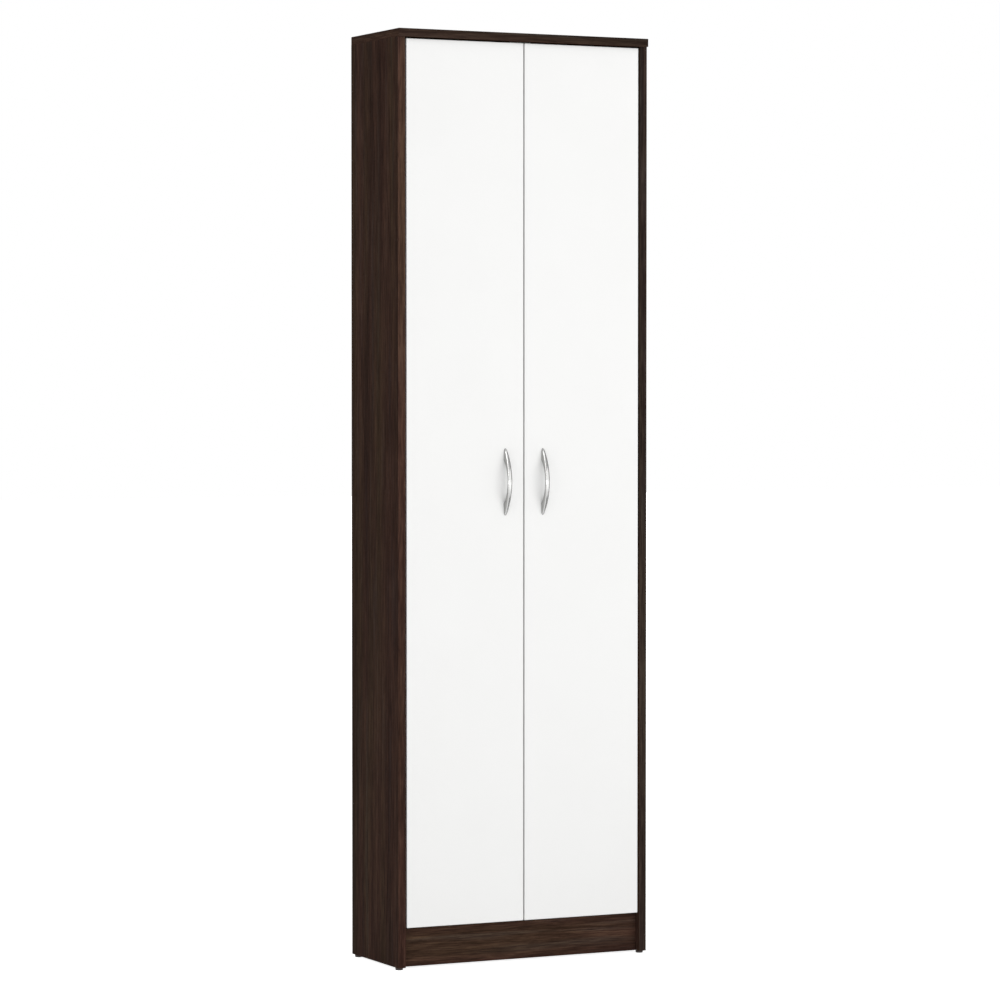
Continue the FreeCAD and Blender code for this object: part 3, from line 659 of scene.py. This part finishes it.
def set_piece(name, mesh, crease, material, body, replaced):
    mesh.shade_smooth()
    mesh.set_sharp_from_angle(angle=math.radians(crease))
    piece = bpy.data.objects.new(name, mesh)
    bpy.context.scene.collection.objects.link(piece)
    give(piece, material)
    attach(piece, body)
    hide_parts(replaced)
    print(name, len(mesh.polygons), "faces on", body)


print("pieces of the model", len(nodes))

# %% [markdown]
# Each handle is a cast bow with pointed ends: an outer arc, an inner arc between two solid feet,
# and a narrow, nearly flat face with a bevel down each side. The face and the two bevels each
# mirror another part of the room, and that draws the bright lines down the bow. It is built as a
# row of slices from end to end, joined by skin. A sweep along a curve would be shorter to write,
# but it would not give the feet that grow out of the bow.
#
# One slice is seen here along the bow. The face is crowned a little across, the bevels fall off at
# an angle, the flanks lean in a little towards the face so that the casting leaves its mould, and
# the corners at the back are round. Towards the thin tips each size is held to a share of the
# slice's width or thickness.

# %% Outline of one slice of the handle
BEVEL, BEVEL_SHARE = 1.6 * MM, 0.28
BEVEL_SLOPE = math.tan(math.radians(30))
DROP_SHARE = 0.4
DRAFT, DRAFT_SHARE = 0.6 * MM, 0.1
CROWN, CROWN_SHARE = 0.2 * MM, 0.2
BACK_ROUND, BACK_WIDTH_SHARE, BACK_THICKNESS_SHARE = 0.5 * MM, 0.2, 0.3
CORNER_STEPS = 6
CROWN_STEPS = 5
QUARTER_TURN = 90


def corner(centre, radius, start):
    """A quarter circle, turning clockwise from an angle in degrees."""
    steps = [QUARTER_TURN * step / CORNER_STEPS for step in range(CORNER_STEPS + 1)]
    angles = [math.radians(start - step) for step in steps]
    return [(centre[0] + radius * math.cos(a), centre[1] + radius * math.sin(a)) for a in angles]


def slice_outline(width, inner, outer):
    """One slice seen along the bow, as points across the handle and out from the door."""
    half = width / 2
    thick = outer - inner
    shoulder = half - min(DRAFT, DRAFT_SHARE * width)
    bevel = min(BEVEL, BEVEL_SHARE * width)
    edge = shoulder - bevel
    crown = min(CROWN, CROWN_SHARE * thick)
    low = outer - crown - min(bevel * BEVEL_SLOPE, DROP_SHARE * thick)
    back = min(BACK_ROUND, BACK_WIDTH_SHARE * width, BACK_THICKNESS_SHARE * thick)
    shares = [2 * step / CROWN_STEPS - 1 for step in range(CROWN_STEPS + 1)]
    face = [(edge * share, outer - crown * share**2) for share in shares]
    right = corner((half - back, inner + back), back, 0)
    left = corner((back - half, inner + back), back, -QUARTER_TURN)
    return [(-shoulder, low), *face, (shoulder, low), *right, *left]


print("a round corner has", len(corner((0, 0), BACK_ROUND, 0)), "points")

# %% [markdown]
# The slices follow two arcs of a circle: the outer one goes from tip to tip, and the inner one
# only over the window between the feet. They stand closest together near the tips, where the bow
# turns most, and there the outline shrinks like a quarter circle, so the tips end round.

# %% Slices of the handle
HANDLE_TIP_HEIGHT = 1.5 * MM
HANDLE_TIP_WIDTH = 5.5 * MM
HANDLE_FOOT = 23.0 * MM
HANDLE_BAR = 4.5 * MM
TIP_ROUND = 5.0 * MM
TIP_BLUNTNESS = 0.12
SLICES = 72


def arc_height(along, half_chord, rise):
    """The height of a circle's arc over its chord, at a distance along from its middle."""
    radius = (half_chord**2 + rise**2) / (2 * rise)
    return rise - radius + math.sqrt(radius**2 - along**2)


def handle_slices(half_length, reach, width):
    """The slices of the bow from its lower tip to its upper tip: (place along, outline)."""
    window = half_length - HANDLE_FOOT
    turns = [math.pi * (step / SLICES - 0.5) for step in range(SLICES + 1)]
    alongs = [half_length * math.sin(turn) for turn in turns]
    slices = []
    for along in sorted(alongs + [-window, window]):
        outer = HANDLE_TIP_HEIGHT + arc_height(along, half_length, reach - HANDLE_TIP_HEIGHT)
        inner = arc_height(along, window, reach - HANDLE_BAR) if abs(along) < window else 0.0
        across = HANDLE_TIP_WIDTH + arc_height(along, half_length, width - HANDLE_TIP_WIDTH)
        past = max(0.0, abs(along) - half_length + TIP_ROUND) / TIP_ROUND
        taper = max(TIP_BLUNTNESS, math.sqrt(max(0.0, 1 - past**2)))
        front = inner + (outer - inner) * math.sqrt(taper)
        slices.append((along, slice_outline(across * taper, inner, front)))
    return slices


print("slices from tip to tip", SLICES + 1, "and one at each end of the window")

# %% [markdown]
# A skin of four-sided faces joins each slice to the next, and the first and the last slice close
# the ends. The handle fills the space of the model's own handle, and is shaded with a low crease
# angle, so the edges of the face stay crisp.

# %% Handles
HANDLE_CREASE = 22


def skin(rings):
    """Faces that join rings of equal length in a row, and close both ends."""
    count = len(rings[0])
    faces = []
    for start in range(0, count * (len(rings) - 1), count):
        for spot in range(count):
            after = (spot + 1) % count
            faces.append((start + spot, start + after, start + count + after, start + count + spot))
    last = count * (len(rings) - 1)
    return faces + [tuple(reversed(range(count))), tuple(range(last, last + count))]


def handle_mesh(name, box_low, box_high):
    """The bow, in the space that the model's own handle fills."""
    middle = (box_low + box_high) / 2
    size = box_high - box_low
    rings = []
    for along, outline in handle_slices(size.z / 2, size.y, size.x):
        high = middle.z + along
        rings.append([(middle.x + across, box_high.y - out, high) for across, out in outline])
    mesh = bpy.data.meshes.new(name)
    mesh.from_pydata([point for ring in rings for point in ring], [], skin(rings))
    return mesh


for side in ("left", "right"):
    bow = handle_mesh(side + "_bow_handle", *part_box(side + "_handle"))
    body, replaced = side + "_leaf", side + "_handle"
    set_piece(bow.name, bow, HANDLE_CREASE, satin_metal, body, replaced)

# %% [markdown]
# Screws and nails repeat, so one Geometry Nodes recipe makes them all. Its input is a cloud of
# points, one where each head sits, that carry which way the head faces and how big it is. The
# places are read from the model: each loose solid of a screw node gives one point.

# %% Places of the fasteners
SAME_PLACE_DIGITS = 6


def loose_boxes(node):
    """The boxes of a node's separate solids."""
    mesh = nodes[node].data
    keys = [tuple(round(part, SAME_PLACE_DIGITS) for part in vertex.co) for vertex in mesh.vertices]
    leader = {key: key for key in keys}

    def lead(key):
        while leader[key] != key:
            key = leader[key]
        return key

    for face in mesh.polygons:
        first = lead(keys[face.vertices[0]])
        for corner_index in face.vertices[1:]:
            leader[lead(keys[corner_index])] = first
    solids = {}
    for key in leader:
        solids.setdefault(lead(key), []).append(key)
    ends = [(map(min, zip(*points)), map(max, zip(*points))) for points in solids.values()]
    return [(Vector(low), Vector(high)) for low, high in ends]


def fastener_point(box_low, box_high, away, head_height, shank_radius):
    """The head's seat, the way it faces, and the sizes of head and shank, from one solid's box."""
    axis = max(range(3), key=lambda index: abs(away[index]))
    middle = (box_low + box_high) / 2
    size = box_high - box_low
    head_radius = size[(axis + 1) % 3] / 2
    shank_radius = min(shank_radius, head_radius)
    seat = middle + away * (size[axis] / 2 - head_height)
    head = Vector((head_radius, head_radius, head_height))
    shank = Vector((shank_radius, shank_radius, size[axis] - head_height))
    return seat, away, head, shank


print("solids of the handle screws", len(loose_boxes("left_handle_screws")))

# %% [markdown]
# A Recipe is a Geometry Nodes tree with named inputs. It is run on a cloud of points and gives a
# plain mesh back, because only plain meshes ride on a body and reach an export.

# %% Recipes


class Recipe(Graph):
    """A Geometry Nodes tree with named inputs."""

    def __init__(self, name, ports):
        super().__init__(bpy.data.node_groups.new(name, "GeometryNodeTree"))
        sockets = self.tree.interface
        for port, kind in {"Geometry": "Geometry", **ports}.items():
            sockets.new_socket(port, in_out="INPUT", socket_type="NodeSocket" + kind)
        sockets.new_socket("Geometry", in_out="OUTPUT", socket_type="NodeSocketGeometry")
        entry = self.tree.nodes.new("NodeGroupInput")
        self.ports = {port: Wire(self, entry.outputs[port]) for port in ["Geometry", *ports]}

    def attribute(self, name):
        settings = {"data_type": "FLOAT_VECTOR"}
        return self.add("GeometryNodeInputNamedAttribute", settings, {"Name": name}, "Attribute")

    def finish(self, shapes):
        """Instances become real faces with a material, because an export drops instances."""
        joined = self.add("GeometryNodeJoinGeometry", values=[shapes])
        real = self.add("GeometryNodeRealizeInstances", values=[joined])
        looks = {"Geometry": real, "Material": self.ports["Finish"]}
        shown = self.add("GeometryNodeSetMaterial", values=looks)
        way_out = self.tree.nodes.new("NodeGroupOutput")
        self.tree.links.new(shown.socket, way_out.inputs["Geometry"])

    def run(self, name, points, attributes, values):
        """The plain mesh that the recipe makes of points that carry vectors."""
        cloud = bpy.data.meshes.new(name)
        cloud.from_pydata(points, [], [])
        for attribute, vectors in attributes.items():
            layer = cloud.attributes.new(attribute, "FLOAT_VECTOR", "POINT")
            layer.data.foreach_set("vector", [part for vector in vectors for part in vector])
        carrier = bpy.data.objects.new(name, cloud)
        bpy.context.scene.collection.objects.link(carrier)
        modifier = carrier.modifiers.new(name, "NODES")
        modifier.node_group = self.tree
        for item in self.tree.interface.items_tree:
            if item.in_out == "INPUT" and item.name in values:
                modifier[item.identifier] = values[item.name]
        view = bpy.context.evaluated_depsgraph_get()
        made = bpy.data.meshes.new_from_object(carrier.evaluated_get(view))
        carrier.modifiers.remove(modifier)
        bpy.data.objects.remove(carrier)
        return made


print("recipes can", [name for name in vars(Recipe) if not name.startswith("_")])

# %% [markdown]
# A fastener is a domed head with a cross cut into it, and a tapered shank. The head is made one
# unit wide and one high, and so is the shank, because each point says how far to stretch them. The
# cross is two bars taken away with a Boolean, and a nail, which has none, skips that.

# %% Parts of a fastener
BLANK_RINGS = 5
SHANK_SIDES = 12
HEAD_CENTRE = 0.5
BAR_CENTRE = 1.5


def domed_blank(recipe):
    """A disc that stands on its seat and falls off towards the rim."""
    port = recipe.ports
    sizes = {"Radius": 1.0, "Depth": 1.0, "Side Segments": 1, "Fill Segments": BLANK_RINGS}
    disc = {"Vertices": port["Sides"], **sizes}
    disc = recipe.add("GeometryNodeMeshCylinder", {"fill_type": "TRIANGLE_FAN"}, disc)
    x, y, z = recipe.parts(recipe.add("GeometryNodeInputPosition"))
    sunk = z.over(0) * (x * x + y * y) * port["Dome"] * -1
    lift = recipe.add("ShaderNodeCombineXYZ", values={"Z": sunk + HEAD_CENTRE})
    return recipe.add("GeometryNodeSetPosition", values={"Geometry": disc, "Offset": lift})


def cross_bars(recipe):
    """Two crossed bars that reach from above the head down to the bottom of its recess."""
    port = recipe.ports
    rise = recipe.add("ShaderNodeCombineXYZ", values={"Z": BAR_CENTRE - port["Recess Depth"]})
    bars = []
    for across, along in (("X", "Y"), ("Y", "X")):
        sizes = {across: port["Recess Length"], along: port["Recess Width"], "Z": 1.0}
        size = recipe.add("ShaderNodeCombineXYZ", values=sizes)
        bar = recipe.add("GeometryNodeMeshCube", values={"Size": size})
        place = {"Geometry": bar, "Translation": rise}
        bars.append(recipe.add("GeometryNodeTransform", values=place))
    return bars


def fastener_head(recipe):
    blank = domed_blank(recipe)
    settings = {"operation": "DIFFERENCE", "solver": "EXACT"}
    cut = recipe.add("GeometryNodeMeshBoolean", settings, {0: blank, 1: cross_bars(recipe)})
    recessed = recipe.ports["Recess Width"].over(0)
    choice = {"Switch": recessed, "False": blank, "True": cut}
    return recipe.add("GeometryNodeSwitch", {"input_type": "GEOMETRY"}, choice)


def fastener_shank(recipe):
    sizes = {"Radius Top": 1.0, "Radius Bottom": recipe.ports["Tip"], "Depth": 1.0}
    cone = recipe.add("GeometryNodeMeshCone", values={"Vertices": SHANK_SIDES, **sizes})
    below = {"Geometry": cone, "Translation": (0, 0, -1)}
    return recipe.add("GeometryNodeTransform", values=below)


print("a shank has", SHANK_SIDES, "sides")

# %% [markdown]
# Real screws are never turned in to the same angle, so each one gets a random turn about its own
# axis from a fixed seed, after it was made to face the way that its point says.

# %% Recipe for a fastener
FASTENER_PORTS = {
    "Sides": "Int",
    "Dome": "Float",
    "Recess Length": "Float",
    "Recess Width": "Float",
    "Recess Depth": "Float",
    "Tip": "Float",
    "Seed": "Int",
    "Finish": "Material",
}


def facing_away(recipe):
    """The turn of each fastener: its head faces away from its seat, at a random angle."""
    away = {"Vector": recipe.attribute("away")}
    facing = recipe.add("FunctionNodeAlignRotationToVector", {"axis": "Z"}, away)
    angles = {2: 0.0, 3: math.tau, 8: recipe.ports["Seed"]}
    angle = recipe.add("FunctionNodeRandomValue", {"data_type": "FLOAT"}, angles, 1)
    axis_angle = {"Axis": (0, 0, 1), "Angle": angle}
    turn = recipe.add("FunctionNodeAxisAngleToRotation", values=axis_angle)
    both = {"Rotation": facing, "Rotate By": turn}
    return recipe.add("FunctionNodeRotateRotation", {"rotation_space": "LOCAL"}, both)


def fastener_recipe():
    recipe = Recipe("fastener", FASTENER_PORTS)
    points = recipe.ports["Geometry"]
    turns = facing_away(recipe)
    shapes = []
    for shape, size in ((fastener_head(recipe), "head"), (fastener_shank(recipe), "shank")):
        copies = {"Points": points, "Instance": shape, "Rotation": turns}
        copies["Scale"] = recipe.attribute(size)
        shapes.append(recipe.add("GeometryNodeInstanceOnPoints", values=copies))
    recipe.finish(shapes)
    return recipe


fastener = fastener_recipe()
print("recipe nodes", len(fastener.tree.nodes))

# %% [markdown]
# All fasteners share the recipe, and a table says what differs: which way the heads face, how high
# a head is, how thick the shank is and how far it tapers, and whether the head has a cross. The
# nails have none, and a flatter dome.

# %% Screws and nails
BEHIND = Vector((0, 1, 0))
INWARDS = "inwards"
FROM_BOARD = "from board"
SMALL_HEAD, SMALL_SHANK = 1.9 * MM, 1.7 * MM
HANDLE_SCREW_HEAD, HANDLE_SCREW_SHANK = 2.6 * MM, 1.95 * MM
CATCH_SCREW_HEAD, CATCH_SCREW_SHANK = 1.6 * MM, 1.5 * MM
NAIL_HEAD, NAIL_SHANK = 0.6 * MM, 0.8 * MM
BLUNT, POINTED, NAIL_POINT = 1.0, 0.3, 0.4
# kind: the way it faces, head height, shank radius, tip, whether it has a cross
FASTENERS = {
    "handle_screws": (BEHIND, HANDLE_SCREW_HEAD, HANDLE_SCREW_SHANK, BLUNT, True),
    "cup_screws": (BEHIND, SMALL_HEAD, SMALL_SHANK, POINTED, True),
    "strike_screws": (BEHIND, CATCH_SCREW_HEAD, CATCH_SCREW_SHANK, POINTED, True),
    "hinge_plate_screws": (INWARDS, SMALL_HEAD, SMALL_SHANK, POINTED, True),
    "hinge_arm_screws": (INWARDS, SMALL_HEAD, SMALL_SHANK, BLUNT, True),
    "catch_screws": (FROM_BOARD, CATCH_SCREW_HEAD, CATCH_SCREW_SHANK, POINTED, True),
    "back_nails": (BEHIND, NAIL_HEAD, NAIL_SHANK, NAIL_POINT, False),
}
HEAD_SHAPE = {"Sides": 20, "Recess Length": 1.15, "Recess Depth": 0.62}
SCREW_DOME, NAIL_DOME = 0.42, 0.3
RECESS_WIDTH = 0.26
FASTENER_CREASE = 35


def way_of(rule, middle):
    """Which way a head faces, for a screw whose box has this middle."""
    if rule == INWARDS:
        return Vector((-math.copysign(1, middle.x), 0, 0))
    if rule == FROM_BOARD:
        return Vector((0, 0, 1 if middle.z < model_box[1].z / 2 else -1))
    return rule


def make_fasteners(node, rule, head_height, shank_radius, tip, recessed):
    rows = []
    for box_low, box_high in loose_boxes(node):
        away = way_of(rule, (box_low + box_high) / 2)
        rows.append(fastener_point(box_low, box_high, away, head_height, shank_radius))
    points, away, heads, shanks = zip(*rows)
    values = {**HEAD_SHAPE, "Tip": tip, "Seed": len(node), "Finish": screw_steel}
    values["Dome"] = SCREW_DOME if recessed else NAIL_DOME
    values["Recess Width"] = RECESS_WIDTH if recessed else 0.0
    vectors = {"away": away, "head": heads, "shank": shanks}
    name = node + "_shapes"
    mesh = fastener.run(name, points, vectors, values)
    leaves = [side + "_leaf" for side in ("left", "right") if node.startswith(side)]
    body = leaves[0] if leaves else "carcass"
    set_piece(name, mesh, FASTENER_CREASE, screw_steel, body, node)


for node in list(nodes):
    kind = node.removeprefix("left_").removeprefix("right_")
    if kind in FASTENERS:
        make_fasteners(node, *FASTENERS[kind])

# %% [markdown]
# The studio is a white floor that keeps a soft shadow, a white surrounding and soft lamps. To the
# camera and in reflections the floor and the surrounding show as plain white, but what they shed
# on the cupboard stays at a level at which a colour renders about as it is written. The Light Path
# node tells the two kinds of ray apart.

# %% Rays that see white
SEEING_RAYS = ("Is Camera Ray", "Is Glossy Ray", "Is Transmission Ray")


def seen_rays(graph):
    """1 for the rays of the camera, of reflections and of glass, and 0 for the rest."""
    node = graph.add("ShaderNodeLightPath").socket.node
    camera_ray, glossy_ray, glass_ray = (Wire(graph, node.outputs[name]) for name in SEEING_RAYS)
    return camera_ray.most(glossy_ray).most(glass_ray)


print("white for", SEEING_RAYS)

# %% [markdown]
# The floor is one large sheet. A glow that only those rays see lifts it to white, and stops short
# of full strength, so the shadow under the cupboard stays.

# %% Floor
FLOOR_SIZE = 60.0
FLOOR_COLOUR = (0.9, 0.9, 0.9, 1.0)
FLOOR_GLOW = 0.88
DULL = {"Roughness": 1.0, "Specular_IOR_Level": 0.0, "Emission_Strength": 1.0}


def make_sheet(name, corners, material):
    """A flat sheet that belongs to the studio and not to the cupboard."""
    mesh = bpy.data.meshes.new(name)
    mesh.from_pydata(corners, [], [(0, 1, 2, 3)])
    mesh.materials.append(material)
    sheet = bpy.data.objects.new(name, mesh)
    bpy.context.scene.collection.objects.link(sheet)
    return sheet


def make_floor():
    half = FLOOR_SIZE / 2
    finish = Finish("floor")
    glow = finish.blend(seen_rays(finish) * FLOOR_GLOW, BLACK, WHITE)
    material = finish.done(Base_Color=FLOOR_COLOUR, Emission_Color=glow, **DULL)
    corners = [(-half, -half, 0), (half, -half, 0), (half, half, 0), (-half, half, 0)]
    return make_sheet("floor", corners, material)


print("floor", tuple(make_floor().dimensions))

# %% [markdown]
# Metal shows what stands around it, and in an all white studio it turns flat and pale. So two grey
# cards stand in for what is darker in a real room: one lies on the floor at the front right, and
# one stands at the right. Only reflections see them, so they shade nothing.

# %% Cards
CARD_LEVEL = 0.4
CARDS = {
    "floor_card": [(0.3, -1.55, 0.01), (1.2, -1.55, 0.01), (1.2, -0.3, 0.01), (0.3, -0.3, 0.01)],
    "side_card": [(1.6, -1.0, 0.02), (1.6, 0.3, 0.02), (1.6, 0.3, 2.6), (1.6, -1.0, 2.6)],
}


def make_card(name, corners):
    """A sheet with these corners that only reflections see."""
    grey = dimmed(WHITE, CARD_LEVEL)
    material = Finish(name).done(Base_Color=BLACK, Emission_Color=grey, **DULL)
    card = make_sheet(name, corners, material)
    card.visible_camera = False
    card.visible_diffuse = False
    card.visible_shadow = False
    card.visible_transmission = False
    card.visible_volume_scatter = False


for card_name, card_corners in CARDS.items():
    make_card(card_name, card_corners)
print("cards", list(CARDS))

# %% [markdown]
# The surrounding is an even white world. It sheds less light than the camera and reflections see.

# %% Surrounding
WORLD_LEVEL = 0.7


def make_world():
    world = bpy.data.worlds.new("studio")
    world.use_nodes = True
    graph = Graph(world.node_tree)
    background = world.node_tree.nodes["Background"]
    background.inputs["Color"].default_value = WHITE
    level = WORLD_LEVEL + seen_rays(graph) * (1 - WORLD_LEVEL)
    graph.feed(background.inputs["Strength"], level)
    bpy.context.scene.world = world


make_world()
print("world sheds", WORLD_LEVEL)

# %% [markdown]
# A large soft key lamp at the front right lights the doors. Two narrow strips, one above and one
# at the left, are hardly seen on the boards and draw bright lines on the metal. A tall lamp at the
# left does the same for the bevels of the handles. It would wash out the doors, so light linking
# keeps its light to the handles, as a photographer would with a flag.

# %% Lamps
# lamp: its place, the spot it faces, its width and height, its power in watts
LAMPS = {
    "key": ((0.9, -3.4, 1.2), (0.0, 0.0, 0.9), (4.2, 2.5), 44.0),
    "top strip": ((0.25, -1.3, 3.3), (0.0, 0.0, 0.95), (0.3, 1.0), 4.0),
    "left strip": ((-2.4, -1.7, 1.3), (0.0, 0.0, 0.95), (0.25, 2.0), 2.5),
}
EDGE_LAMP = ((-1.45, -1.8, 1.95), (0.0, 0.0, 0.95), (1.2, 3.8), 54.0)


def make_lamp(name, place, target, size, power):
    data = bpy.data.lights.new(name, "AREA")
    data.shape = "RECTANGLE"
    data.size, data.size_y = size
    data.energy = power
    lamp = bpy.data.objects.new(name, data)
    lamp.location = place
    lamp.rotation_euler = (Vector(target) - Vector(place)).to_track_quat("-Z", "Y").to_euler()
    lamp.visible_camera = False
    bpy.context.scene.collection.objects.link(lamp)
    return lamp


def light_only(lamp, pieces):
    """Keeps a lamp's light to some pieces."""
    lit = bpy.data.collections.new(lamp.name)
    for piece in pieces:
        lit.objects.link(piece)
    lamp.light_linking.receiver_collection = lit


for lamp_name, lamp_values in LAMPS.items():
    make_lamp(lamp_name, *lamp_values)
edge_lamp = make_lamp("edge strip", *EDGE_LAMP)
handles = [bpy.data.objects[side + "_bow_handle"] for side in ("left", "right")]
light_only(edge_lamp, handles)
print("lamps", [*LAMPS, edge_lamp.name])

# %% [markdown]
# The Standard view shows each colour as it is written.

# %% View
bpy.context.scene.view_settings.view_transform = "Standard"
